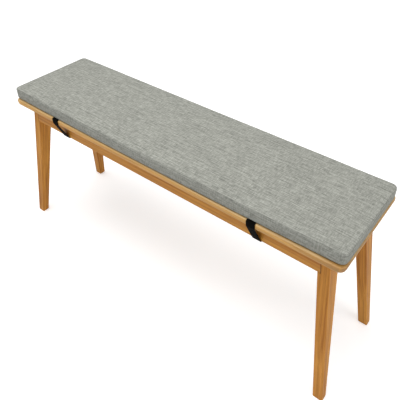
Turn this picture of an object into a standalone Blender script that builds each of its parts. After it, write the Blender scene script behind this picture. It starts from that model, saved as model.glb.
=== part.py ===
"""Bench cushion strapped to a plain wooden bench.

A flat boxed seat pad lies on the board of a splay-legged bench. Two webbing straps, sewn under the
pad's front and back edges, run down over the board and round below the long rails.

Metres, +Z up. The origin is on the floor below the middle of the bench, X runs along it, and the
front looks towards -Y.
"""
from math import cos, hypot, pi, radians, sin, tan

import bmesh
import bpy
from mathutils import Vector

# Gap between pieces that touch
SEAT_GAP = 0.0003

# Board of the bench
BOARD_LENGTH = 1.003
BOARD_WIDTH = 0.270
BOARD_THICKNESS = 0.016
BOARD_TOP = 0.450
BOARD_CORNER = 0.016
BOARD_EDGE_TOP = 0.004
BOARD_EDGE_BOTTOM = 0.007

# Cushion; it lies a few millimetres off the middle of the board. Its front side stands out a little
# between the corners, the other sides are drawn in, and all of them are widest below their middle
CUSHION_LENGTH = 1.002
CUSHION_WIDTH = 0.254
CUSHION_SIDE = 0.0305
CUSHION_SHIFT = -0.0025
CUSHION_CROWN = 0.004
CUSHION_CORNER = 0.014
CUSHION_SHOULDER = 0.0045
CUSHION_FOOT = 0.004
CUSHION_BULGE = 0.0016
CUSHION_FLARE = 0.0012
CUSHION_SEAM = 0.0007
CUSHION_DRAW_IN = 0.001
CUSHION_FRONT_BOW = 0.0055

# Legs: centre and section where they meet the board, and at the floor
LEG_TOP_X = 0.4500
LEG_TOP_Y = 0.0835
LEG_FOOT_X = 0.5390
LEG_FOOT_Y = 0.1340
LEG_TOP_ALONG = 0.028
LEG_TOP_DEEP = 0.043
LEG_FOOT_ALONG = 0.026
LEG_FOOT_DEEP = 0.0215
LEG_EDGE = 0.002

# Rails below the board, flush with the legs' outer faces
RAIL_HEIGHT = 0.051
RAIL_THICKNESS = 0.018
RAIL_LET_IN = 0.0085
RAIL_EDGE = 0.0015

# Straps; where they lean, they are further along X below the rails than on the board
STRAP_WIDTH = 0.022
STRAP_THICKNESS = 0.0012
STRAP_GAP = 0.0004
STRAP_TAIL = 0.040
STRAP_BEND = 0.0027
STRAP_LEAVES_BOARD = 0.003
STRAP_SOFT_BEND = 0.010
STRAP_PLACES = {"strap_left": -0.3235, "strap_right": 0.298}
STRAP_LEANS = {"strap_left": 0.0, "strap_right": 0.006}

BOARD_UNDER = BOARD_TOP - BOARD_THICKNESS
FRAME_TOP = BOARD_UNDER - SEAT_GAP
RAIL_LOW = BOARD_UNDER - RAIL_HEIGHT
CUSHION_BOTTOM = BOARD_TOP + SEAT_GAP


def clear_scene():
    for thing in list(bpy.data.objects):
        bpy.data.objects.remove(thing, do_unlink=True)


def make_material(name, colour, roughness):
    material = bpy.data.materials.new(name)
    material.use_nodes = True
    shader = material.node_tree.nodes["Principled BSDF"]
    shader.inputs["Base Color"].default_value = (*colour, 1.0)
    shader.inputs["Roughness"].default_value = roughness
    shader.inputs["Metallic"].default_value = 0.0
    return material


def add_object(name, shape, material):
    """Turns a bmesh into a smooth-shaded object whose sharp edges stay crisp."""
    bmesh.ops.recalc_face_normals(shape, faces=shape.faces)
    mesh = bpy.data.meshes.new(name)
    shape.to_mesh(mesh)
    shape.free()
    mesh.shade_smooth()
    mesh.set_sharp_from_angle(angle=radians(35))
    mesh.materials.append(material)
    thing = bpy.data.objects.new(name, mesh)
    bpy.context.collection.objects.link(thing)
    return thing


def loft(rings):
    """Closed solid through rings of the same number of points, each end closed by a cap."""
    shape = bmesh.new()
    loops = [[shape.verts.new(point) for point in ring] for ring in rings]
    for lower, upper in zip(loops, loops[1:]):
        count = len(lower)
        for i in range(count):
            j = (i + 1) % count
            shape.faces.new((lower[i], lower[j], upper[j], upper[i]))
    caps = [shape.faces.new(list(reversed(loops[0]))), shape.faces.new(loops[-1])]
    bmesh.ops.triangulate(shape, faces=caps, ngon_method="BEAUTY")
    return shape


def side_points(start, end, pieces):
    """Points along a straight side, without its two ends."""
    return [start.lerp(end, i / pieces) for i in range(1, pieces)]


def rounded_plan(half_x, half_y, corner, pieces_x=1, pieces_y=1, steps=5):
    """Counter-clockwise rectangle with round corners, as points (x, y)."""
    corners = []
    for turn, (sign_x, sign_y) in enumerate([(1, -1), (1, 1), (-1, 1), (-1, -1)]):
        centre = Vector((sign_x * (half_x - corner), sign_y * (half_y - corner)))
        angles = [radians(-90 + 90 * turn + 90 * i / steps) for i in range(steps + 1)]
        corners.append([centre + corner * Vector((cos(a), sin(a))) for a in angles])
    points = []
    for i, arc in enumerate(corners):
        following = corners[(i + 1) % 4]
        pieces = pieces_y if i % 2 == 0 else pieces_x
        points += arc + side_points(arc[-1], following[0], pieces)
    return points


def edge_profile(radius, steps, top):
    """(inset, height) pairs of a quarter round, from the side to the top or from the face up."""
    pairs = []
    for i in range(steps + 1):
        angle = (pi / 2) * i / steps
        if top:
            pairs.append((radius * (1 - cos(angle)), radius * sin(angle) - radius))
        else:
            pairs.append((radius * (1 - sin(angle)), radius * (1 - cos(angle))))
    return pairs


# ---- board ----

def make_board(material):
    lower_edge = edge_profile(BOARD_EDGE_BOTTOM, 3, top=False)
    upper_edge = edge_profile(BOARD_EDGE_TOP, 4, top=True)
    levels = [(inset, BOARD_UNDER + rise) for inset, rise in lower_edge]
    levels += [(inset, BOARD_TOP + rise) for inset, rise in upper_edge]
    rings = []
    for inset, height in levels:
        half_x, half_y = BOARD_LENGTH / 2 - inset, BOARD_WIDTH / 2 - inset
        plan = rounded_plan(half_x, half_y, BOARD_CORNER - inset, steps=6)
        rings.append([(x, y, height) for x, y in plan])
    return add_object("board", loft(rings), material)


# ---- cushion ----

def cushion_levels():
    """(inset, height above the cushion's underside, share of the crown) from the underside up."""
    levels = [(CUSHION_FOOT - CUSHION_FLARE, 0.0, 0.0),
              (CUSHION_FOOT * 0.3 - CUSHION_FLARE, CUSHION_FOOT * 0.3, 0.0)]
    side_low, side_high = CUSHION_FOOT, CUSHION_SIDE - CUSHION_SHOULDER
    for i in range(4):
        share = i / 3
        outward = CUSHION_BULGE * sin(pi * share) + CUSHION_FLARE * (1 - share)
        levels.append((-outward, side_low + (side_high - side_low) * share, 0.0))
    for i, (inset, rise) in enumerate(edge_profile(CUSHION_SHOULDER, 4, top=True)[1:], start=1):
        seam = CUSHION_SEAM if i == 2 else 0.0
        levels.append((inset + seam, CUSHION_SIDE + rise - seam, 0.0))
    for inset in (0.014, 0.026, 0.044, 0.066, 0.092, 0.118):
        levels.append((inset, CUSHION_SIDE, 1.0))
    return levels


def cushion_point(x, y, inset, height, crown_share):
    """Bows the front side out, draws the other sides in and lifts the top into its crown."""
    half_x, half_y = CUSHION_LENGTH / 2, CUSHION_WIDTH / 2
    along = 1 - (x / half_x) ** 2
    across = 1 - (y / half_y) ** 2
    rim = max(0.0, 1 - inset / 0.05)
    push_y = -(CUSHION_DRAW_IN if y > 0 else CUSHION_FRONT_BOW) * along * rim
    pull_x = CUSHION_DRAW_IN * across * rim * (1 if x > 0 else -1)
    near_side = abs(y) > half_y - 0.05
    near_end = abs(x) > half_x - 0.03
    arch_along = max(0.0, 1 - abs(x / half_x) ** 4)
    arch_across = max(0.0, 1 - abs(y / half_y) ** 2.4)
    crown = CUSHION_CROWN * crown_share * arch_along * arch_across ** 0.8
    return (CUSHION_SHIFT + x - (pull_x if near_end else 0.0),
            y + (push_y if near_side else 0.0), CUSHION_BOTTOM + height + crown)


def make_cushion(material):
    rings = []
    for inset, height, crown_share in cushion_levels():
        corner = max(CUSHION_CORNER - 0.4 * inset, 0.004)
        plan = rounded_plan(CUSHION_LENGTH / 2 - inset, CUSHION_WIDTH / 2 - inset, corner,
                            pieces_x=16, pieces_y=4)
        rings.append([cushion_point(x, y, inset, height, crown_share) for x, y in plan])
    cushion = add_object("cushion", loft(rings), material)
    for name, place in STRAP_PLACES.items():
        for side in (-1, 1):
            cut_out(cushion, strap_pocket(f"pocket_{name}_{side}", place, side))
    return cushion


def strap_pocket(name, place, side):
    """Shallow pocket under the cushion's edge, in which the sewn end of a strap lies."""
    deep = SEAT_GAP + STRAP_GAP + STRAP_THICKNESS
    inner = CUSHION_WIDTH / 2 - STRAP_TAIL - SEAT_GAP
    outer = CUSHION_WIDTH / 2 + 0.01
    half = STRAP_WIDTH / 2 + SEAT_GAP
    low, high = BOARD_TOP - 0.01, BOARD_TOP + deep
    corners = [(place - half, inner), (place + half, inner), (place + half, outer), (place - half, outer)]
    return add_cutter(name, [[(x, side * y, z) for x, y in corners] for z in (low, high)])


# ---- cutters ----

def add_cutter(name, rings):
    """Guide solid that is taken out of other pieces and is no piece itself."""
    cutter = add_object(name, loft(rings), CUTTER_MATERIAL)
    cutter.hide_render = True
    cutter.display_type = "WIRE"
    return cutter


def cut_out(thing, cutter):
    cut = thing.modifiers.new(cutter.name, "BOOLEAN")
    cut.operation = "DIFFERENCE"
    cut.solver = "EXACT"
    cut.object = cutter


# ---- legs ----

def leg_share(height):
    """0 where a leg meets the board, 1 at the floor."""
    return (FRAME_TOP - height) / FRAME_TOP


def leg_section(height):
    """Centre x, centre y, half size along X and half size along Y of the right back leg."""
    share = leg_share(height)
    centre_x = LEG_TOP_X + (LEG_FOOT_X - LEG_TOP_X) * share
    centre_y = LEG_TOP_Y + (LEG_FOOT_Y - LEG_TOP_Y) * share
    half_x = (LEG_TOP_ALONG + (LEG_FOOT_ALONG - LEG_TOP_ALONG) * share) / 2
    half_y = (LEG_TOP_DEEP + (LEG_FOOT_DEEP - LEG_TOP_DEEP) * share) / 2
    return centre_x, centre_y, half_x, half_y


def leg_face_y(height):
    """Distance of the legs' outer long faces from the bench's middle plane."""
    _, centre_y, _, half_y = leg_section(height)
    return centre_y + half_y


def leg_face_x(height):
    """Distance of the legs' outer end faces from the bench's middle."""
    centre_x, _, half_x, _ = leg_section(height)
    return centre_x + half_x


def make_leg(name, sign_x, sign_y, material, cutters):
    rings = []
    for height in (0.0, FRAME_TOP):
        centre_x, centre_y, half_x, half_y = leg_section(height)
        corners = [(centre_x + dx * half_x, centre_y + dy * half_y)
                   for dx, dy in ((-1, -1), (1, -1), (1, 1), (-1, 1))]
        rings.append([(sign_x * x, sign_y * y, height) for x, y in corners])
    leg = add_object(name, loft(rings), material)
    round_edges(leg, LEG_EDGE)
    for cutter in cutters:
        cut_out(leg, cutter)
    return leg


def round_edges(thing, width):
    bevel = thing.modifiers.new("round_edges", "BEVEL")
    bevel.width = width
    bevel.segments = 2
    bevel.limit_method = "ANGLE"
    bevel.angle_limit = radians(30)


# ---- rails ----

def long_rail_rings(side, grow=0.0):
    """Rail between two legs of one long side; its ends follow the legs' slant."""
    rings = []
    for height in (RAIL_LOW - grow, FRAME_TOP + grow):
        centre_x, _, half_x, _ = leg_section(height)
        end = centre_x - half_x + RAIL_LET_IN + grow
        face = leg_face_y(height)
        outer, inner = face + 4 * grow, face - RAIL_THICKNESS - grow
        corners = [(-end, inner), (end, inner), (end, outer), (-end, outer)]
        rings.append([(x, side * y, height) for x, y in corners])
    return rings


def end_rail_rings(side, grow=0.0):
    """Rail between two legs of one end of the bench."""
    rings = []
    for height in (RAIL_LOW - grow, FRAME_TOP + grow):
        _, centre_y, _, half_y = leg_section(height)
        end = centre_y - half_y + RAIL_LET_IN + grow
        face = leg_face_x(height)
        outer, inner = face + 4 * grow, face - RAIL_THICKNESS - grow
        corners = [(inner, -end), (outer, -end), (outer, end), (inner, end)]
        rings.append([(side * x, y, height) for x, y in corners])
    return rings


def make_rails(material):
    """The four rails, and for each the cutter of the notches that it is let into."""
    cutters = {}
    for name, rings, side in (("rail_front", long_rail_rings, -1), ("rail_back", long_rail_rings, 1),
                              ("rail_left", end_rail_rings, -1), ("rail_right", end_rail_rings, 1)):
        rail = add_object(name, loft(rings(side)), material)
        round_edges(rail, RAIL_EDGE)
        cutters[name] = add_cutter(f"notch_{name}", rings(side, grow=SEAT_GAP))
    return cutters


# ---- straps ----

def bend_corners(corners, radii, steps=4):
    """Rounds each inner corner of a path in the YZ plane with an arc of its radius."""
    path = [corners[0]]
    for before, corner, after, radius in zip(corners, corners[1:], corners[2:], radii):
        to_before = (before - corner).normalized()
        to_after = (after - corner).normalized()
        half_turn = (pi - to_before.angle(to_after)) / 2
        middle = (to_before + to_after).normalized()
        centre = corner + middle * (radius / cos(half_turn))
        start = (corner + to_before * (radius * tan(half_turn)) - centre).normalized()
        end = (corner + to_after * (radius * tan(half_turn)) - centre).normalized()
        for i in range(steps + 1):
            path.append(centre + radius * start.slerp(end, i / steps))
    path.append(corners[-1])
    return path


def strap_front_corners():
    """Corners of the strap's middle line (y, z), from its sewn front end to below the front rail."""
    off = STRAP_GAP + STRAP_THICKNESS / 2
    board_face = -(BOARD_WIDTH / 2 + off)
    return [
        Vector((-(CUSHION_WIDTH / 2 - STRAP_TAIL), BOARD_TOP + off)),
        Vector((board_face, BOARD_TOP + off)),
        Vector((board_face, BOARD_UNDER + STRAP_LEAVES_BOARD)),
        Vector((-(leg_face_y(RAIL_LOW) + off), RAIL_LOW - off)),
    ]


def strap_path():
    front = strap_front_corners()
    back = [Vector((-y, z)) for y, z in reversed(front)]
    radii = [STRAP_BEND, STRAP_SOFT_BEND, STRAP_BEND]
    return bend_corners(front + back, radii + radii[::-1])


def path_normals(path):
    """Normals of a path in the YZ plane, longer at its bends so that the strap keeps its thickness."""
    normals = []
    for i, point in enumerate(path):
        runs = []
        if i > 0:
            runs.append((point - path[i - 1]).normalized())
        if i < len(path) - 1:
            runs.append((path[i + 1] - point).normalized())
        along = sum(runs, Vector((0.0, 0.0))).normalized()
        stretch = 1 / max(along.dot(runs[0]), 0.5)
        normals.append(Vector((-along.y, along.x)) * stretch)
    return normals


def make_strap(name, material):
    path = strap_path()
    rings = []
    for point, normal in zip(path, path_normals(path)):
        inner, outer = point - normal * STRAP_THICKNESS / 2, point + normal * STRAP_THICKNESS / 2
        lowered = max(0.0, BOARD_TOP - point.y) / (BOARD_TOP - RAIL_LOW)
        middle = STRAP_PLACES[name] + STRAP_LEANS[name] * min(1.0, lowered)
        low, high = middle - STRAP_WIDTH / 2, middle + STRAP_WIDTH / 2
        rings.append([(low, *inner), (high, *inner), (high, *outer), (low, *outer)])
    return add_object(name, loft(rings), material)


def strap_length():
    path = strap_path()
    return sum(hypot(*(after - before)) for before, after in zip(path, path[1:]))


clear_scene()
CUTTER_MATERIAL = make_material("guide", (0.8, 0.1, 0.1), 0.5)
cushion_cloth = make_material("cushion_cloth", (0.36, 0.365, 0.335), 0.95)
webbing = make_material("webbing", (0.012, 0.012, 0.013), 0.85)
board_wood = make_material("board_wood", (0.52, 0.29, 0.11), 0.5)
frame_wood = make_material("frame_wood", (0.42, 0.19, 0.06), 0.5)

make_board(board_wood)
make_cushion(cushion_cloth)
notches = make_rails(frame_wood)
for leg_name, leg_x, leg_y, long_rail, end_rail in (
        ("leg_front_left", -1, -1, "rail_front", "rail_left"),
        ("leg_front_right", 1, -1, "rail_front", "rail_right"),
        ("leg_back_left", -1, 1, "rail_back", "rail_left"),
        ("leg_back_right", 1, 1, "rail_back", "rail_right")):
    make_leg(leg_name, leg_x, leg_y, frame_wood, [notches[long_rail], notches[end_rail]])
for strap_name in STRAP_PLACES:
    make_strap(strap_name, webbing)
print(f"strap length {strap_length():.4f} m")
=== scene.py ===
import bpy
import numpy as np
from math import cos, pi, radians, tan
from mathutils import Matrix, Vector, noise


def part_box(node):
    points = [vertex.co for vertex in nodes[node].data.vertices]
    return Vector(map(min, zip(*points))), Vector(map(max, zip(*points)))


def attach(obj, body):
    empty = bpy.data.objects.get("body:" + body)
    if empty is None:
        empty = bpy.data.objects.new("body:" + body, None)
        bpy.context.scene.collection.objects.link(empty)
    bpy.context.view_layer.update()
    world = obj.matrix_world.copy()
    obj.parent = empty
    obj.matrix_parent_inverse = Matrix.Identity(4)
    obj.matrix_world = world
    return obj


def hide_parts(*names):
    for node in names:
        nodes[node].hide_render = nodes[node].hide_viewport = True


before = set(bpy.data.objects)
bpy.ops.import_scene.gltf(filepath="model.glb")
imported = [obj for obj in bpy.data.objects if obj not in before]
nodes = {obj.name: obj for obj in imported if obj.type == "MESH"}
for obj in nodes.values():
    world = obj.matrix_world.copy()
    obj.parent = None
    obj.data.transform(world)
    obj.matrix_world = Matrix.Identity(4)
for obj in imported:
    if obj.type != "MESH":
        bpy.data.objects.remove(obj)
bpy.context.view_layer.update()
print("frame loaded,", len(nodes), "nodes")


# camera, where the photo was taken from

camera = {"place": (0.6169, -0.7028, 1.0944), "tilt": 47.807, "turn": 38.342, "lens": 40.447, "sensor": 36,
          "nearest": 0.05}

bpy.ops.object.camera_add(location=camera["place"],
                          rotation=(radians(camera["tilt"]), 0, radians(camera["turn"])))
photoCamera = bpy.context.object
photoCamera.name = "photoCamera"
photoCamera.data.lens = camera["lens"]
photoCamera.data.sensor_width = camera["sensor"]
photoCamera.data.clip_start = camera["nearest"]
bpy.context.scene.camera = photoCamera
bpy.context.scene.view_settings.view_transform = "Standard"
print("camera placed")


# small helpers

def letGo():
    if bpy.context.mode != "OBJECT":
        bpy.ops.object.mode_set(mode="OBJECT")
    bpy.ops.object.select_all(action="DESELECT")


def takeUp(piece):  # the only selected and active one
    letGo()
    piece.select_set(True)
    bpy.context.view_layer.objects.active = piece


def applyAll(piece):
    takeUp(piece)
    for modifier in list(piece.modifiers):
        bpy.ops.object.modifier_apply(modifier=modifier.name)


def settle(piece):  # its place goes into its mesh
    takeUp(piece)
    bpy.ops.object.transform_apply(location=True, rotation=True, scale=True)


def points(mesh):
    co = np.empty(len(mesh.vertices) * 3, np.float32)
    mesh.vertices.foreach_get("co", co)
    return co.reshape(-1, 3).astype(float)


def setPoints(mesh, co):
    mesh.vertices.foreach_set("co", co.astype(np.float32).ravel())
    mesh.update()


def normals(mesh):
    no = np.empty(len(mesh.vertices) * 3, np.float32)
    mesh.vertex_normals.foreach_get("vector", no)
    return no.reshape(-1, 3).astype(float)


def keepValues(mesh, name, values):  # one number at each point, which a material reads
    layer = mesh.attributes.new(name, "FLOAT", "POINT")
    layer.data.foreach_set("value", values.astype(np.float32))


def dress(piece, material):
    piece.data.materials.clear()
    piece.data.materials.append(material)


# shader helpers

def feed(tree, socket, value):
    if isinstance(value, bpy.types.NodeSocket):
        tree.links.new(value, socket)
    else:
        socket.default_value = value


def addNode(tree, kind, settings=None, **inputs):  # in0, in1 and so on feed a socket by its number
    made = tree.nodes.new("ShaderNode" + kind)
    for key, value in (settings or {}).items():
        setattr(made, key, value)
    for key, value in inputs.items():
        feed(tree, made.inputs[int(key[2:]) if key.startswith("in") else key], value)
    return made


def calc(tree, operation, a, b=0.5, c=None):
    inputs = {"in0": a, "in1": b}
    if c is not None:
        inputs["in2"] = c
    return addNode(tree, "Math", {"operation": operation}, **inputs).outputs[0]


def blendColours(tree, share, first, second, kind="MIX"):
    mixer = addNode(tree, "Mix", {"data_type": "RGBA", "blend_type": kind}, in0=share, in6=first, in7=second)
    return mixer.outputs[2]


def remap(tree, value, low, high, toLow=0.0, toHigh=1.0, smooth=True):
    kind = "SMOOTHSTEP" if smooth else "LINEAR"
    return addNode(tree, "MapRange", {"interpolation_type": kind}, in0=value, in1=low, in2=high, in3=toLow,
                   in4=toHigh).outputs[0]


def stretched(tree, vector, scale, detail=2.0, roughness=0.5, place=(0, 0, 0)):
    moved = addNode(tree, "Mapping", in0=vector, in1=place, in3=scale).outputs[0]
    return addNode(tree, "TexNoise", {"noise_dimensions": "3D"}, Vector=moved, Scale=1.0, Detail=detail,
                   Roughness=roughness).outputs[0]


def addUp(tree, noises):  # noises that each waver about 0.5, with the share of each
    total = 0.5
    for value, share in noises:
        total = calc(tree, "MULTIPLY_ADD", calc(tree, "SUBTRACT", value, 0.5), share, total)
    return total


def newGroup(name, takes, gives):
    group = bpy.data.node_groups.new(name, "ShaderNodeTree")
    for label, kind, start in takes:
        socket = group.interface.new_socket(label, in_out="INPUT", socket_type="NodeSocket" + kind)
        if start is not None:
            socket.default_value = start
    for label, kind in gives:
        group.interface.new_socket(label, in_out="OUTPUT", socket_type="NodeSocket" + kind)
    inward = group.nodes.new("NodeGroupInput")
    outward = group.nodes.new("NodeGroupOutput")
    return group, inward.outputs, outward.inputs


def useGroup(tree, group, **inputs):
    placed = tree.nodes.new("ShaderNodeGroup")
    placed.node_tree = group
    for key, value in inputs.items():
        feed(tree, placed.inputs[key], value)
    return placed.outputs


def newMaterial(name):
    material = bpy.data.materials.new(name)
    material.use_nodes = True
    return material, material.node_tree, material.node_tree.nodes["Principled BSDF"]


# shared effects, all with their Vector in metres

def makePlainWeave():  # threads over and under each other
    takes = [("Vector", "Vector", None), ("Pitch", "Float", 0.001)]
    group, given, out = newGroup("plainWeave", takes, [("Height", "Float")])
    parts = addNode(group, "SeparateXYZ", in0=given["Vector"]).outputs
    across = calc(group, "MULTIPLY", calc(group, "DIVIDE", parts[0], given["Pitch"]), pi)
    along = calc(group, "MULTIPLY", calc(group, "DIVIDE", parts[1], given["Pitch"]), pi)
    warpRound = calc(group, "ABSOLUTE", calc(group, "SINE", across))
    weftRound = calc(group, "ABSOLUTE", calc(group, "SINE", along))
    swap = calc(group, "MULTIPLY", calc(group, "COSINE", across), calc(group, "COSINE", along))
    swap = calc(group, "MULTIPLY_ADD", swap, 0.5, 0.5)
    warp = calc(group, "MULTIPLY", warpRound, calc(group, "MULTIPLY_ADD", swap, 0.6, 0.4))
    weft = calc(group, "MULTIPLY", weftRound, calc(group, "MULTIPLY_ADD", swap, -0.6, 1.0))
    group.links.new(calc(group, "MAXIMUM", warp, weft), out["Height"])
    return group


def makeMelange():  # light and dark fibres spun together, in short streaks both ways
    group, given, out = newGroup("melangeYarn", [("Vector", "Vector", None)],
                                 [("Tone", "Float"), ("Slub", "Float")])
    vector = given["Vector"]
    weft = stretched(group, vector, (58, 430, 1), roughness=0.6)
    warp = stretched(group, vector, (430, 85, 1), roughness=0.6, place=(3.1, 7.7, 2.0))
    slub = stretched(group, vector, (48, 300, 1), detail=1.0, place=(9.3, 1.7, 4.0))
    crossSlub = stretched(group, vector, (260, 60, 1), detail=1.0, place=(2.3, 5.7, 7.0))
    longThread = stretched(group, vector, (11, 330, 1), detail=1.0, place=(5.1, 3.3, 6.0))
    cloud = stretched(group, vector, (22, 26, 1), place=(1.3, 2.9, 9.0))
    tone = addUp(group, ((weft, 1.2), (warp, 0.95), (slub, 0.45), (crossSlub, 0.45), (longThread, 0.75),
                         (cloud, 0.22)))
    group.links.new(remap(group, tone, 0.0, 1.0, smooth=False), out["Tone"])
    thick = calc(group, "ADD", calc(group, "MULTIPLY", slub, 0.6), calc(group, "MULTIPLY", crossSlub, 0.4))
    group.links.new(thick, out["Slub"])
    return group


def makeWoodGrain():  # the grain runs along X
    takes = [("Vector", "Vector", None), ("Light", "Color", None), ("Dark", "Color", None),
             ("Figure", "Float", 0.5)]
    group, given, out = newGroup("woodGrain", takes,
                                 [("Color", "Color"), ("Height", "Float"), ("Rough", "Float")])
    wander = stretched(group, given["Vector"], (1.6, 9, 9))
    pushed = addNode(group, "VectorMath", {"operation": "MULTIPLY_ADD"}, in0=wander, in1=(0.0, 0.05, 0.05),
                     in2=given["Vector"]).outputs[0]
    rings = stretched(group, pushed, (1.2, 75, 75), detail=1.5, roughness=0.55)
    bands = stretched(group, pushed, (3, 210, 210), detail=1.0, place=(7, 1, 6))
    fibres = stretched(group, pushed, (9, 420, 420), detail=3.0, roughness=0.65, place=(5, 3, 1))
    pores = stretched(group, pushed, (60, 1300, 1300), detail=1.0, place=(2, 8, 4))
    figure = addUp(group, ((rings, 1.5), (bands, 1.1), (fibres, 0.9)))
    tone = addUp(group, ((figure, given["Figure"]),))  # a higher Figure parts light and dark more
    pits = remap(group, pores, 0.62, 0.74)
    timber = blendColours(group, remap(group, tone, 0.05, 0.95, smooth=False), given["Dark"], given["Light"])
    darker = blendColours(group, 1.0, timber, (0.62, 0.55, 0.48, 1), "MULTIPLY")
    group.links.new(blendColours(group, calc(group, "MULTIPLY", pits, 0.55), timber, darker), out["Color"])
    raised = calc(group, "MULTIPLY_ADD", fibres, 0.5, 0.2)
    group.links.new(calc(group, "SUBTRACT", raised, calc(group, "MULTIPLY", pits, 0.5)), out["Height"])
    group.links.new(calc(group, "MULTIPLY_ADD", fibres, 0.25, 0.36), out["Rough"])
    return group


plainWeave = makePlainWeave()
melangeYarn = makeMelange()
woodGrain = makeWoodGrain()


# wood

wood = {"boardLight": (0.72, 0.43, 0.138, 1), "boardDark": (0.475, 0.25, 0.063, 1),
        "railLight": (0.67, 0.31, 0.046, 1), "railDark": (0.42, 0.15, 0.017, 1),
        "legLight": (0.70, 0.325, 0.062, 1), "legDark": (0.385, 0.14, 0.02, 1),
        "boardGloss": 0.6, "railGloss": 0.35, "legGloss": 0.15,
        "figure": 1.15, "grainDeep": 0.00025, "endSqueeze": (40, 0.55, 0.55),
        # what the board's colours are multiplied by, and from where to where along X or across Y; the top tint
        # is a painted highlight, the right tint painted shade
        "topHighlightTint": (1.02, 1.18, 1.70, 1), "sideTint": (1.08, 1.0, 0.78, 1),
        "rightShadeTint": (0.95, 0.88, 0.68, 1), "cornerTint": (0.76, 0.70, 0.62, 1),
        "rightAlong": (0.05, 0.25), "cornerAlong": (0.43, 0.49), "cornerAcross": (-0.09, -0.12),
        # a leg's way in and up from its foot, and where the long rails end at the floor's height
        "legRun": (0.089, 0.0505, 0.4337), "jointOut": 0.5345, "jointLean": 0.2075,
        "jointWide": 0.0016, "jointShadeTone": (0.05, 0.02, 0.008, 1)}


def paintJointShade(tree, spot, colour):  # painted shade: a dark line in the narrow gap where a long rail goes into the leaning legs
    parts = addNode(tree, "SeparateXYZ", in0=spot["Object"]).outputs
    out = calc(tree, "MULTIPLY_ADD", parts[2], wood["jointLean"], calc(tree, "ABSOLUTE", parts[0]))
    inside = calc(tree, "SUBTRACT", wood["jointOut"], out)
    line = remap(tree, inside, wood["jointWide"] / 2, wood["jointWide"], 0.8, 0.0)
    return blendColours(tree, line, colour, wood["jointShadeTone"])


# painted light on the board: a painted highlight makes what faces up lighter and paler, painted shade makes the
# front darker towards the right, and it is darker still at its front right corner
def paintBoardLight(tree, spot, colour):
    up = remap(tree, addNode(tree, "SeparateXYZ", in0=spot["Normal"]).outputs[2], 0.2, 0.95)
    parts = addNode(tree, "SeparateXYZ", in0=spot["Object"]).outputs
    right = remap(tree, parts[0], *wood["rightAlong"])
    tint = blendColours(tree, right, wood["sideTint"], wood["rightShadeTint"])
    tint = blendColours(tree, up, tint, wood["topHighlightTint"])
    corner = calc(tree, "MULTIPLY", remap(tree, parts[0], *wood["cornerAlong"]),
                  remap(tree, parts[1], *wood["cornerAcross"]))
    tint = blendColours(tree, corner, tint, wood["cornerTint"])
    return blendColours(tree, 1.0, colour, tint, "MULTIPLY")


def makeWood(name, light, dark, gloss, place, turn=(0, 0, 0), endAxis=0, paintedLight=None):
    material, tree, shader = newMaterial(name)
    spot = addNode(tree, "TexCoord").outputs
    turned = addNode(tree, "Mapping", in0=spot["Object"], in1=place, in2=turn).outputs[0]
    side = useGroup(tree, woodGrain, Vector=turned, Light=light, Dark=dark, Figure=wood["figure"])
    squeezed = addNode(tree, "Mapping", in0=turned, in3=wood["endSqueeze"]).outputs[0]
    end = useGroup(tree, woodGrain, Vector=squeezed, Light=dark, Dark=dark, Figure=wood["figure"])
    facing = calc(tree, "ABSOLUTE", addNode(tree, "SeparateXYZ", in0=spot["Normal"]).outputs[endAxis])
    colour = blendColours(tree, remap(tree, facing, 0.45, 0.80), side["Color"], end["Color"])
    # painted light and shade laid over the wood's colour
    if paintedLight:
        colour = paintedLight(tree, spot, colour)
    tree.links.new(colour, shader.inputs["Base Color"])
    tree.links.new(side["Rough"], shader.inputs["Roughness"])
    bump = addNode(tree, "Bump", Height=side["Height"], Distance=wood["grainDeep"], Strength=0.6)
    tree.links.new(bump.outputs[0], shader.inputs["Normal"])
    shader.inputs["Specular IOR Level"].default_value = gloss
    return material


def grainAlong(direction):  # turns that direction onto X
    return tuple(Vector(direction).rotation_difference(Vector((1, 0, 0))).to_euler())


# each place moves the piece to another stretch of the grain
dress(nodes["board"], makeWood("boardWood", wood["boardLight"], wood["boardDark"], wood["boardGloss"],
                               (3.1, 0.6, 0.4), paintedLight=paintBoardLight))
for index, name in enumerate(("rail_front", "rail_back")):
    dress(nodes[name], makeWood(name + "Wood", wood["railLight"], wood["railDark"], wood["railGloss"],
                                (2.3 + index, 0.5, 0.1), paintedLight=paintJointShade))
for index, name in enumerate(("rail_left", "rail_right")):
    dress(nodes[name], makeWood(name + "Wood", wood["railLight"], wood["railDark"], wood["railGloss"],
                                (0.9, 0.4 + index, 0.1), turn=grainAlong((0, 1, 0)), endAxis=1))
for index, name in enumerate(("leg_front_left", "leg_front_right", "leg_back_left", "leg_back_right")):
    inX, inY, rise = wood["legRun"]
    run = (-inX if "right" in name else inX, -inY if "back" in name else inY, rise)
    dress(nodes[name], makeWood(name + "Wood", wood["legLight"], wood["legDark"], wood["legGloss"],
                                (0.4 * index, 0.7 + 0.3 * index, 0.6), turn=grainAlong(run), endAxis=2))
print("wood finished")


# cushion

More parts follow.
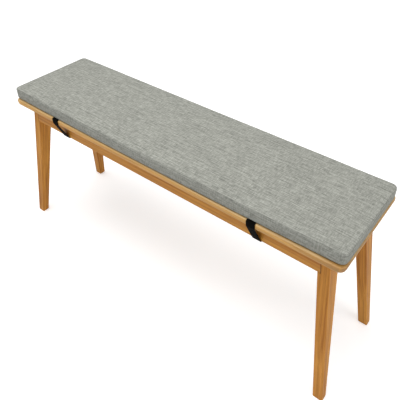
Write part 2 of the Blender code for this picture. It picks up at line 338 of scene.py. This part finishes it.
cushion = {"long": 1.002, "wide": 0.254, "side": 0.0305, "low": 0.4503, "middleX": -0.0025,
           "corner": 0.014, "shoulder": 0.0042, "foot": 0.0045, "crown": 0.0032,
           "voxel": 0.005, "quickVoxel": 0.008,
           "pressure": 4.0, "frames": 20, "cap": 0.0024,  # how the cover swells, and how far at most
           "heldWide": 0.003, "footIn": 0.004,  # what is held still meanwhile: the seams and the underside
           "tight": 0.0030, "tightEnds": 0.010, "tightFade": 0.004,  # the front's upper edge
           "seamWide": 0.0016, "seamDeep": 0.0004, "puckerSteps": (0.011, 0.047), "puckers": (0.94, 0.06),
           "lumps": (7, 11, 20), "lumpDeep": 0.0006, "lumpFade": 0.012,
           "frontBow": 0.0055, "drawIn": 0.001, "flare": 0.0014, "bowReach": 0.05,
           "dentSoft": 0.008, "underside": 0.006}  # where the straps' ends press in from below
# the seam tone and the seam shares paint shade into the seam grooves; along the bottom seam this painted shade
# stands for the contact shadow on the board, and it fades towards the right end
cloth = {"light": (0.44, 0.446, 0.398, 1), "dark": (0.156, 0.16, 0.14, 1), "seamShadeTone": (0.03, 0.03, 0.025, 1),
         "topSeam": 0.45, "lowSeamShade": 0.8, "lowSeamShadeRight": 0.3, "lowSeamShadeFades": (0.22, 0.42),
         "threadPitch": 0.0012, "threadDeep": 0.0003, "stitch": 0.003}

# the straps' values come before the cushion's code, because its underside rests on them
strap = {"middleX": {"strap_left": -0.3235, "strap_right": 0.298},
         "leanX": {"strap_left": 0.0, "strap_right": 0.006},  # how far it goes aside on its way down
         "wide": 0.022, "thick": 0.0012, "gap": 0.0004, "tail": 0.040, "leavesBoard": 0.003,
         "bend": 0.0027, "softBend": 0.010, "bendSteps": 6, "stepLong": 0.006, "across": 6, "edge": 0.0005,
         "ribs": 0.0011, "ribDeep": 0.00035, "threadDark": (0.0016, 0.0014, 0.0012, 1),
         "threadLight": (0.0052, 0.0044, 0.0036, 1), "worn": (0.010, 0.009, 0.008, 1)}


def rimPlace(x, y):  # distance in from the outline seen from above, and the way round it from the front left
    r = cushion["corner"]
    ix, iy = cushion["long"] / 2 - r, cushion["wide"] / 2 - r
    x = x - cushion["middleX"]
    qx, qy = np.clip(x, -ix, ix), np.clip(y, -iy, iy)
    away = np.hypot(x - qx, y - qy)
    inside = np.minimum(ix - np.abs(x), iy - np.abs(y))
    depth = np.where(away > 1e-9, r - away, r + inside)
    quarter = r * pi / 2
    angle = np.arctan2(y - qy, x - qx)
    front, right, back, left = y < -iy, x > ix, y > iy, x < -ix
    way = np.select([front & right, right & back, back & left, left & front, front, right, back, left],
                    [2 * ix + r * (angle + pi / 2),
                     2 * ix + quarter + 2 * iy + r * angle,
                     4 * ix + 2 * quarter + 2 * iy + r * (angle - pi / 2),
                     4 * ix + 3 * quarter + 4 * iy + r * (angle + pi),
                     x + ix,
                     2 * ix + quarter + (y + iy),
                     2 * ix + 2 * quarter + 2 * iy + (ix - x),
                     4 * ix + 3 * quarter + 2 * iy + (iy - y)], 0.0)
    return depth, way


def crownAt(x, y):
    along = np.clip(1 - np.abs((x - cushion["middleX"]) / (cushion["long"] / 2)) ** 4, 0, 1)
    across = np.clip(1 - np.abs(y / (cushion["wide"] / 2)) ** 2.4, 0, 1)
    return cushion["crown"] * along * across ** 0.8


# how far each point is across the top and the bottom seam: 0 on the seam, above 0 on the panel,
# and -1 on the other half of the cushion
def seamPlaces(co):
    depth, way = rimPlace(co[:, 0], co[:, 1])
    depth = np.maximum(depth, 0)
    height = co[:, 2] - cushion["low"]
    upper = height > cushion["side"] / 2
    top = depth - (cushion["side"] - height + crownAt(co[:, 0], co[:, 1]))
    bottom = depth - height
    return np.where(upper, top, -1.0), np.where(upper, -1.0, bottom), way


def roundPad():
    letGo()
    middle = (cushion["middleX"], 0, cushion["low"] + cushion["side"] / 2)
    bpy.ops.mesh.primitive_cube_add(size=1, location=middle)
    pad = bpy.context.object
    pad.name = "benchCushion"
    pad.scale = (cushion["long"], cushion["wide"], cushion["side"])
    settle(pad)
    bpy.ops.object.mode_set(mode="EDIT")
    bpy.ops.mesh.select_mode(type="EDGE")
    for pick, size, steps in (("upright", cushion["corner"], 8), ("high", cushion["shoulder"], 5),
                              ("low", cushion["foot"], 4)):
        bpy.ops.mesh.select_all(action="DESELECT")
        bpy.ops.object.mode_set(mode="OBJECT")
        for edge in pad.data.edges:
            a, b = (pad.data.vertices[i].co for i in edge.vertices)
            flat = abs(a.z - b.z) < 1e-6
            high = a.z > cushion["low"] + cushion["side"] / 2
            edge.select = (pick == "upright" and not flat) or (flat and pick == ("high" if high else "low"))
        bpy.ops.object.mode_set(mode="EDIT")
        bpy.ops.mesh.bevel(offset=size, segments=steps, profile=0.5, affect="EDGES")
    bpy.ops.object.mode_set(mode="OBJECT")
    return pad


def closeUp(pad, voxel):  # one even skin, with the crown
    takeUp(pad)
    pad.data.remesh_voxel_size = voxel
    pad.data.use_remesh_fix_poles = False
    bpy.ops.object.voxel_remesh()
    co = points(pad.data)
    raised = np.clip((co[:, 2] - cushion["low"]) / cushion["side"], 0, 1) ** 2
    co[:, 2] += crownAt(co[:, 0], co[:, 1]) * raised
    setPoints(pad.data, co)


def swell(pad):  # blows the cover up a little between its seams, which stay where they are sewn
    rest = points(pad.data)
    top, bottom = seamPlaces(rest)[:2]
    held = pad.vertex_groups.new(name="held")
    still = np.maximum(np.exp(-(top / cushion["heldWide"]) ** 2), np.exp(-(bottom / cushion["heldWide"]) ** 2))
    lying = (bottom > cushion["footIn"]) & (rest[:, 2] < cushion["low"] + cushion["footIn"])
    still[lying] = 1  # it rests on the board
    for index in np.nonzero(still > 0.05)[0]:
        held.add([int(index)], float(still[index]), "REPLACE")
    cover = pad.modifiers.new("cover", "CLOTH")
    settings = cover.settings
    settings.quality = 4
    settings.mass = 0.3
    settings.tension_stiffness = settings.compression_stiffness = settings.shear_stiffness = 12
    settings.bending_stiffness = 0.8
    settings.vertex_group_mass = "held"
    settings.pin_stiffness = 6
    settings.use_pressure = True
    settings.uniform_pressure_force = cushion["pressure"]
    settings.effector_weights.gravity = 0
    cover.collision_settings.use_collision = False
    cover.point_cache.frame_end = cushion["frames"]
    for step in range(1, cushion["frames"] + 1):
        bpy.context.scene.frame_set(step)
    applyAll(pad)
    bpy.context.scene.frame_set(1)
    moved = points(pad.data) - rest
    far = np.linalg.norm(moved, axis=1)
    share = cushion["cap"] * np.tanh(far / cushion["cap"]) / np.maximum(far, 1e-9)
    print("  cover moved at most %.1f mm before the cap" % (far.max() * 1000))
    setPoints(pad.data, rest + moved * share[:, None])


def tightenShoulder(pad):  # along the front the panels meet in a tight edge
    co = points(pad.data)
    r = cushion["tight"]
    x, y = co[:, 0] - cushion["middleX"], co[:, 1]
    ix, iy = cushion["long"] / 2 - cushion["corner"], cushion["wide"] / 2 - cushion["corner"]
    out = np.stack([x - np.clip(x, -ix, ix), y - np.clip(y, -iy, iy)], 1)
    far = np.linalg.norm(out, axis=1)
    out /= np.maximum(far, 1e-9)[:, None]
    inward = cushion["corner"] - far
    below = cushion["low"] + cushion["side"] + crownAt(co[:, 0], y) - co[:, 2]
    a, b = np.maximum(r - inward, 0), np.maximum(r - below, 0)
    away = np.maximum(np.hypot(a, b), 1e-9)
    share = np.clip((cushion["tightEnds"] - np.maximum(inward, below)) / cushion["tightFade"], 0, 1)
    share = share * np.clip(-out[:, 1], 0, 1)  # only where the side faces the front
    moveIn = np.where(a > 0, r - r * a / away - inward, 0) * share
    moveDown = np.where(b > 0, r - r * b / away - below, 0) * share
    co[:, :2] -= out * moveIn[:, None]
    co[:, 2] -= moveDown
    setPoints(pad.data, co)


def sewSeams(pad):  # puckered grooves, and soft lumps in the filling
    co = points(pad.data)
    no = normals(pad.data)
    top, bottom, way = seamPlaces(co)
    short, long = cushion["puckerSteps"]
    mean, swing = cushion["puckers"]
    puckers = mean + swing * np.sin(way * 2 * pi / short) * np.sin(way * 2 * pi / long + 1)
    pull = 0
    for across in (top, bottom):
        pull = np.maximum(pull, np.exp(-(across / cushion["seamWide"]) ** 2) * puckers)
    co -= no * (cushion["seamDeep"] * pull)[:, None]
    soft = np.array([noise.noise(Vector(p)) for p in co * cushion["lumps"]])
    fade = np.clip((co[:, 2] - cushion["low"]) / cushion["lumpFade"], 0, 1)
    co += no * (cushion["lumpDeep"] * soft * fade)[:, None]
    setPoints(pad.data, co)


# the front side stands out between the corners, the back side is drawn in, and all sides are widest low down
def bowSides(pad):
    co = points(pad.data)
    halfLong, halfWide = cushion["long"] / 2, cushion["wide"] / 2
    x, y = co[:, 0] - cushion["middleX"], co[:, 1]
    atSide = np.clip(1 - (halfWide - np.abs(y)) / cushion["bowReach"], 0, 1) ** 1.5
    atEnd = np.clip(1 - (halfLong - np.abs(x)) / cushion["bowReach"], 0, 1) ** 1.5
    lower = np.clip(1 - (co[:, 2] - cushion["low"]) / cushion["side"], 0, 1)
    along = np.clip(1 - (x / halfLong) ** 2, 0, 1)
    push = np.where(y < 0, cushion["frontBow"], cushion["drawIn"]) * along
    co[:, 0] += np.sign(x) * atEnd * cushion["flare"] * lower
    co[:, 1] += atSide * (np.sign(y) * cushion["flare"] * lower - push)
    setPoints(pad.data, co)


def restOnStraps(pad):  # the sewn ends of the straps press into the underside
    co = points(pad.data)
    for name, middle in strap["middleX"].items():
        aside = np.abs(co[:, 0] - middle) - strap["wide"] / 2
        inward = (cushion["wide"] / 2 - strap["tail"]) - np.abs(co[:, 1])
        off = np.maximum(np.maximum(aside, inward), 0)
        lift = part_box(name)[1].z + strap["gap"] - cushion["low"]
        dent = lift * np.clip(1 - off / cushion["dentSoft"], 0, 1) ** 2
        under = co[:, 2] < cushion["low"] + cushion["underside"]
        co[:, 2] = np.where(under, np.maximum(co[:, 2], cushion["low"] + dent), co[:, 2])
    co[:, 2] = np.maximum(co[:, 2], cushion["low"])
    setPoints(pad.data, co)


def layCloth(pad):  # threads run lengthwise and crosswise on the panels, round and up on the sides
    mesh = pad.data
    co = points(mesh)
    top, bottom, way = seamPlaces(co)
    keepValues(mesh, "topSeam", top * 1000)
    keepValues(mesh, "bottomSeam", bottom * 1000)
    keepValues(mesh, "roundSeam", way)
    corners = np.empty(len(mesh.loops), np.int32)
    mesh.loops.foreach_get("vertex_index", corners)
    counts = np.empty(len(mesh.polygons), np.int32)
    mesh.polygons.foreach_get("loop_total", counts)
    faceOf = np.repeat(np.arange(len(counts)), counts)
    topOf, bottomOf, wayOf = (np.bincount(faceOf, values[corners]) / counts for values in (top, bottom, way))
    full = way.max()
    wayHere = way[corners]
    wayHere = np.where(wayHere - wayOf[faceOf] > full / 4, wayHere - full, wayHere)
    panel, underside = ((topOf > 0) | (bottomOf > 0))[faceOf], (bottomOf > 0)[faceOf]
    sideShift, underShift = 2.0, 0.7  # so that no panel repeats the streaks of another
    u = np.where(panel, co[corners, 0], wayHere + sideShift)
    v = np.where(panel, co[corners, 1] + np.where(underside, underShift, 0.0), co[corners, 2])
    layer = mesh.uv_layers.new(name="threads")
    layer.data.foreach_set("uv", np.stack([u, v], 1).astype(np.float32).ravel())


def makeCushionCloth():
    material, tree, shader = newMaterial("cushionCloth")
    threads = addNode(tree, "UVMap", {"uv_map": "threads"}).outputs[0]
    fine = useGroup(tree, plainWeave, Vector=threads, Pitch=cloth["threadPitch"])
    yarn = useGroup(tree, melangeYarn, Vector=threads)
    tint = blendColours(tree, yarn["Tone"], cloth["dark"], cloth["light"])
    # painted shade: darker where the weave sinks between threads, a touch lighter on the thread tops
    gapShade = remap(tree, fine["Height"], 0.1, 0.6, 0.62, 1.04)
    shaded = addNode(tree, "VectorMath", {"operation": "SCALE"}, in0=tint, Scale=gapShade).outputs[0]
    across = addNode(tree, "Attribute", {"attribute_name": "topSeam"}).outputs["Fac"]
    topSeam = remap(tree, calc(tree, "ABSOLUTE", across), 0.15, 0.75, 1.0, 0.0)  # in millimetres
    across = addNode(tree, "Attribute", {"attribute_name": "bottomSeam"}).outputs["Fac"]
    bottomSeam = remap(tree, calc(tree, "ABSOLUTE", across), 0.6, 1.8, 1.0, 0.0)
    seam = calc(tree, "MAXIMUM", topSeam, bottomSeam)
    along = addNode(tree, "SeparateXYZ", in0=addNode(tree, "TexCoord").outputs["Object"]).outputs[0]
    # painted shade in the seam grooves; along the bottom seam it is the painted contact shadow on the board,
    # lighter towards the right end
    lowShadeShare = remap(tree, along, *cloth["lowSeamShadeFades"], cloth["lowSeamShade"], cloth["lowSeamShadeRight"])
    dark = calc(tree, "MULTIPLY_ADD", topSeam, cloth["topSeam"], calc(tree, "MULTIPLY", bottomSeam, lowShadeShare))
    seamShaded = blendColours(tree, dark, shaded, cloth["seamShadeTone"])
    tree.links.new(seamShaded, shader.inputs["Base Color"])
    way = addNode(tree, "Attribute", {"attribute_name": "roundSeam"}).outputs["Fac"]
    stitches = calc(tree, "ABSOLUTE", calc(tree, "SINE", calc(tree, "MULTIPLY", way, pi / cloth["stitch"])))
    sewn = calc(tree, "MULTIPLY", seam, calc(tree, "MULTIPLY_ADD", stitches, -0.6, 1.6))
    raised = calc(tree, "MULTIPLY_ADD", yarn["Slub"], 0.8, fine["Height"])
    height = calc(tree, "SUBTRACT", raised, sewn)
    bump = addNode(tree, "Bump", Height=height, Distance=cloth["threadDeep"], Strength=0.8)
    tree.links.new(bump.outputs[0], shader.inputs["Normal"])
    tree.links.new(calc(tree, "MULTIPLY_ADD", yarn["Tone"], 0.08, 0.86), shader.inputs["Roughness"])
    shader.inputs["Specular IOR Level"].default_value = 0.2
    shader.inputs["Sheen Weight"].default_value = 0.04
    shader.inputs["Sheen Roughness"].default_value = 0.6
    return material


pad = roundPad()
closeUp(pad, cushion["voxel"])
swell(pad)
finer = pad.modifiers.new("finer", "SUBSURF")
finer.levels = finer.render_levels = 1
applyAll(pad)
tightenShoulder(pad)
sewSeams(pad)
layCloth(pad)
bowSides(pad)
restOnStraps(pad)
pad.data.shade_smooth()
dress(pad, makeCushionCloth())
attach(pad, "root")
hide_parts("cushion")
print("cushion sewn,", len(pad.data.polygons), "faces")


# straps

boardLow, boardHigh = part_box("board")
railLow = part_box("rail_front")[0]


def roundCorners(corners, radii, steps):
    line = [corners[0]]
    for before, corner, after, radius in zip(corners, corners[1:], corners[2:], radii):
        back, on = (before - corner).normalized(), (after - corner).normalized()
        half = (pi - back.angle(on)) / 2
        centre = corner + (back + on).normalized() * (radius / cos(half))
        first = (corner + back * (radius * tan(half)) - centre).normalized()
        last = (corner + on * (radius * tan(half)) - centre).normalized()
        line += [centre + radius * first.slerp(last, i / steps) for i in range(steps + 1)]
    return line + [corners[-1]]


def strapLine():  # (y, z) from the sewn front end, round below the bench, to the sewn back end
    off = strap["gap"] + strap["thick"] / 2
    front = [Vector((strap["tail"] - cushion["wide"] / 2, boardHigh.z + off)),
             Vector((boardLow.y - off, boardHigh.z + off)),
             Vector((boardLow.y - off, boardLow.z + strap["leavesBoard"])),
             Vector((railLow.y - off, railLow.z - off))]
    corners = front + [Vector((-p.x, p.y)) for p in reversed(front)]
    radii = [strap["bend"], strap["softBend"], strap["bend"]]
    return roundCorners(corners, radii + radii[::-1], strap["bendSteps"])


def evenSteps(line, longest):
    steps = [line[0]]
    for a, b in zip(line, line[1:]):
        pieces = max(1, round((b - a).length / longest))
        steps += [a.lerp(b, i / pieces) for i in range(1, pieces + 1)]
    return steps


def laneX(name, height):  # the middle of the webbing at that height
    lowered = max(0.0, boardHigh.z - height) / (boardHigh.z - railLow.z)
    return strap["middleX"][name] + strap["leanX"][name] * min(1.0, lowered)


def layStrap(name):  # a short start, extruded along the line
    line = evenSteps(strapLine(), strap["stepLong"])
    letGo()
    first = 0.002
    start = Vector((laneX(name, line[0].y), line[0].x - first / 2, line[0].y))
    bpy.ops.mesh.primitive_grid_add(x_subdivisions=strap["across"], y_subdivisions=1, size=1, location=start)
    band = bpy.context.object
    band.name = "webbing_" + name
    band.scale = (strap["wide"], first, 1)
    settle(band)
    bpy.ops.object.mode_set(mode="EDIT")
    bpy.ops.mesh.select_mode(type="EDGE")
    bpy.ops.mesh.select_all(action="DESELECT")
    bpy.ops.object.mode_set(mode="OBJECT")
    edgeY = min(v.co.y for v in band.data.vertices)
    for edge in band.data.edges:
        edge.select = all(abs(band.data.vertices[i].co.y - edgeY) < 1e-6 for i in edge.vertices)
    bpy.ops.object.mode_set(mode="EDIT")
    here = Vector((start.x, start.y - first / 2, start.z))
    for there in line[1:]:
        goal = Vector((laneX(name, there.y), there.x, there.y))
        bpy.ops.mesh.extrude_region_move(TRANSFORM_OT_translate={"value": goal - here})
        here = goal
    bpy.ops.mesh.select_all(action="SELECT")
    bpy.ops.mesh.normals_make_consistent(inside=False)
    bpy.ops.object.mode_set(mode="OBJECT")
    return band, line


def readLine(band, name, line):  # keeps how far along and across the webbing each point is, gives its length
    co = points(band.data)
    flat = np.array([[p.x, p.y] for p in line])
    gone = np.concatenate([[0], np.cumsum(np.linalg.norm(np.diff(flat, axis=0), axis=1))])
    nearest = np.array([np.argmin(((flat - p[1:]) ** 2).sum(1)) for p in co])
    middle = np.array([laneX(name, p[2]) for p in co])
    keepValues(band.data, "alongWebbing", gone[nearest])
    keepValues(band.data, "acrossWebbing", co[:, 0] - middle)
    return gone[-1]


def thicken(band):
    thick = band.modifiers.new("thick", "SOLIDIFY")
    thick.thickness = strap["thick"]
    thick.offset = 0
    thick.use_even_offset = True
    soft = band.modifiers.new("softEdge", "BEVEL")
    soft.width = strap["edge"]
    soft.segments = 2
    soft.limit_method = "ANGLE"
    soft.angle_limit = radians(50)
    applyAll(band)
    band.data.shade_smooth()


def makeWebbing():
    material, tree, shader = newMaterial("blackWebbing")
    along = addNode(tree, "Attribute", {"attribute_name": "alongWebbing"}).outputs["Fac"]
    across = addNode(tree, "Attribute", {"attribute_name": "acrossWebbing"}).outputs["Fac"]
    chevron = calc(tree, "PINGPONG", calc(tree, "ADD", across, 0.5), strap["wide"] / 4)
    slanted = calc(tree, "ADD", along, chevron)
    cells = addNode(tree, "CombineXYZ", in0=slanted, in1=across).outputs[0]
    weave = useGroup(tree, plainWeave, Vector=cells, Pitch=strap["ribs"])
    spot = addNode(tree, "TexCoord").outputs["Object"]
    dust = stretched(tree, spot, (60, 60, 60), detail=3.0)
    threads = blendColours(tree, weave["Height"], strap["threadDark"], strap["threadLight"])
    worn = blendColours(tree, remap(tree, dust, 0.55, 0.8, 0.0, 0.2), threads, strap["worn"])
    tree.links.new(worn, shader.inputs["Base Color"])
    selvedge = remap(tree, calc(tree, "ABSOLUTE", across), strap["wide"] * 0.42, strap["wide"] * 0.47)
    height = calc(tree, "MULTIPLY_ADD", selvedge, 0.5, weave["Height"])
    bump = addNode(tree, "Bump", Height=height, Distance=strap["ribDeep"], Strength=0.9)
    tree.links.new(bump.outputs[0], shader.inputs["Normal"])
    tree.links.new(calc(tree, "MULTIPLY_ADD", dust, 0.2, 0.6), shader.inputs["Roughness"])
    shader.inputs["Specular IOR Level"].default_value = 0.03
    return material


webbing = makeWebbing()
for name in strap["middleX"]:
    band, line = layStrap(name)
    length = readLine(band, name, line)
    thicken(band)
    dress(band, webbing)
    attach(band, "root")
    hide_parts(name)
    print(name, "laid, %.3f m long" % length)


# floor and light

studio = {"floor": (0.85, 0.85, 0.85, 1), "floorLift": 0.46, "farLift": 0.45, "farAway": (1.2, 4.0),
          "sky": 0.42}
softboxes = {"topSoftbox": {"place": (-0.3, -0.3, 2.6), "target": (0, 0, 0.4), "size": (1.8, 1.4), "power": 44},
             "rightSoftbox": {"place": (2.6, 0.1, 1.5), "target": (0, 0, 0.35), "size": (1.6, 1.4),
                              "power": 18.5},
             "frontSoftbox": {"place": (0.6, -2.9, 0.95), "target": (0, 0, 0.4), "size": (1.2, 1.0),
                              "power": 9}}


def layFloor():  # the camera sees it a little lighter than the lamps make it
    letGo()
    bpy.ops.mesh.primitive_plane_add(size=40, location=(0, 0, 0))
    floor = bpy.context.object
    floor.name = "floor"
    paint, tree, shader = newMaterial("floorPaint")
    shader.inputs["Base Color"].default_value = studio["floor"]
    shader.inputs["Roughness"].default_value = 0.9
    shader.inputs["Specular IOR Level"].default_value = 0.1
    shader.inputs["Emission Color"].default_value = (1, 1, 1, 1)
    seenDirectly = addNode(tree, "LightPath").outputs["Is Camera Ray"]
    spot = addNode(tree, "TexCoord").outputs["Object"]
    away = addNode(tree, "VectorMath", {"operation": "LENGTH"}, in0=spot).outputs["Value"]
    far = studio["floorLift"] + studio["farLift"]
    paper = remap(tree, away, *studio["farAway"], studio["floorLift"], far)
    tree.links.new(calc(tree, "MULTIPLY", seenDirectly, paper), shader.inputs["Emission Strength"])
    dress(floor, paint)


def addSoftbox(name, place, target, size, power):
    letGo()
    aim = (Vector(target) - Vector(place)).to_track_quat("-Z", "Y").to_euler()
    bpy.ops.object.light_add(type="AREA", location=place, rotation=aim)
    lamp = bpy.context.object
    lamp.name = name
    lamp.data.shape = "RECTANGLE"
    lamp.data.size, lamp.data.size_y = size
    lamp.data.energy = power


def hangSky():  # dim for the object, plain white to the camera
    world = bpy.data.worlds.new("studio")
    bpy.context.scene.world = world
    world.use_nodes = True
    tree = world.node_tree
    dim = tree.nodes["Background"]
    dim.inputs["Color"].default_value = (1, 1, 1, 1)
    dim.inputs["Strength"].default_value = studio["sky"]
    seen = addNode(tree, "Background", Color=(1, 1, 1, 1), Strength=1.0)
    rays = addNode(tree, "LightPath")
    both = addNode(tree, "MixShader", in0=rays.outputs["Is Camera Ray"], in1=dim.outputs[0],
                   in2=seen.outputs[0])
    tree.links.new(both.outputs[0], tree.nodes["World Output"].inputs["Surface"])


layFloor()
for name, box in softboxes.items():
    addSoftbox(name, **box)
hangSky()
print("studio lit")
